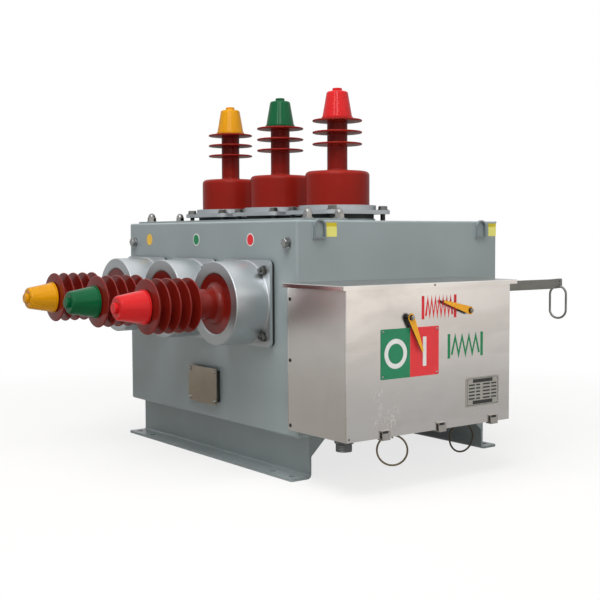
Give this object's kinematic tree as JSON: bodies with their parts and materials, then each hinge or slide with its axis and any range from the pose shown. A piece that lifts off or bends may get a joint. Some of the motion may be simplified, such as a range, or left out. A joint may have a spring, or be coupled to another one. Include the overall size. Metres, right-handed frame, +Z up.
{
  "type": "outdoor vacuum circuit breaker",
  "caption": "Floor-standing grey tank with red shed bushings on top and side, cast transformer housings, a stainless mechanism box, pull rings and a charging lever.",
  "frame": {"origin": "floor level, in the middle of the foot bolt holes", "axes": "+X along the front of the mechanism box to the lever, -Y the front, +Z up"},
  "size_m": [0.953, 0.8253, 0.7537],
  "materials": {
    "tank_paint": "satin light grey paint",
    "gasket_rubber": "matt black",
    "stainless": "bright rolled sheet",
    "cast_aluminium": "machined casting",
    "red_epoxy": "cast epoxy, semi-gloss",
    "yellow_cap": "moulded, glossy",
    "green_cap": "moulded, glossy",
    "red_cap": "moulded, glossy",
    "zinc_steel": "yellow zinc plated",
    "sign_plate": "two-colour enamel",
    "rating_plate": "blank plate",
    "dark_steel": "black",
    "pointer_paint": "orange-yellow paint",
    "lever_steel": "grey steel bar"
  },
  "bodies": {
    "breaker": {"tank_body": "tank_paint", "tank_rear_cover": "tank_paint", "tank_top_cover": "tank_paint", "left_foot": "tank_paint", "right_foot": "tank_paint", "left_lifting_lug": "tank_paint", "right_lifting_lug": "tank_paint", "ct_gaskets": "gasket_rubber", "top_gaskets": "gasket_rubber", "relief_pad": "gasket_rubber", "relief_plate": "stainless", "box_back": "stainless", "box_left_side": "stainless", "box_right_side": "stainless", "box_floor": "stainless", "front_cover": "stainless", "box_lid": "stainless", "cover_clips": "stainless", "conduit_stub": "zinc_steel", "position_sign": "sign_plate", "rating_plate": "rating_plate", "pointer_pins": "dark_steel", "charging_shaft": "dark_steel", "pull_eyes": "zinc_steel", "ct_housing_a": "cast_aluminium", "side_bushing_a": "red_epoxy", "side_cap_a": "yellow_cap", "top_flange_a": "cast_aluminium", "top_bushing_a": "red_epoxy", "top_cap_a": "yellow_cap", "ct_housing_b": "cast_aluminium", "side_bushing_b": "red_epoxy", "side_cap_b": "green_cap", "top_flange_b": "cast_aluminium", "top_bushing_b": "red_epoxy", "top_cap_b": "green_cap", "ct_housing_c": "cast_aluminium", "side_bushing_c": "red_epoxy", "side_cap_c": "red_cap", "top_flange_c": "cast_aluminium", "top_bushing_c": "red_epoxy", "top_cap_c": "red_cap"},
    "position_pointer": {"position_pointer": "pointer_paint"},
    "charge_pointer": {"charge_pointer": "pointer_paint"},
    "charging_lever": {"charging_lever": "lever_steel"},
    "lever_ring": {"lever_ring": "zinc_steel"},
    "left_pull_ring": {"left_pull_ring": "zinc_steel"},
    "right_pull_ring": {"right_pull_ring": "zinc_steel"}
  },
  "joints": [
    {"name": "position_pointer_turn", "type": "hinge", "parent": "breaker", "child": "position_pointer", "pos_m": [-0.1422, -0.4965, 0.3086], "axis": [0, 1, 0], "range_deg": [0, 48.8]},
    {"name": "charge_pointer_turn", "type": "hinge", "parent": "breaker", "child": "charge_pointer", "pos_m": [0.0051, -0.4965, 0.3147], "axis": [0, -1, 0], "range_deg": [0, 95]},
    {"name": "charging_lever_swing", "type": "hinge", "parent": "breaker", "child": "charging_lever", "pos_m": [0.089, -0.405, 0.35], "axis": [0, 1, 0], "range_deg": [0, 50]},
    {"name": "lever_ring_swing", "type": "hinge", "parent": "charging_lever", "child": "lever_ring", "pos_m": [0.37777, -0.39234, 0.34426], "axis": [0.342, -0.9397, 0], "range_deg": [-60, 60]},
    {"name": "left_pull_ring_swing", "type": "hinge", "parent": "breaker", "child": "left_pull_ring", "pos_m": [-0.137, -0.441, 0.09065], "axis": [-0.766, 0.6428, 0], "range_deg": [-60, 60]},
    {"name": "right_pull_ring_swing", "type": "hinge", "parent": "breaker", "child": "right_pull_ring", "pos_m": [0.051, -0.43, 0.09065], "axis": [-0.9903, 0.1392, 0], "range_deg": [-60, 60]}
  ]
}
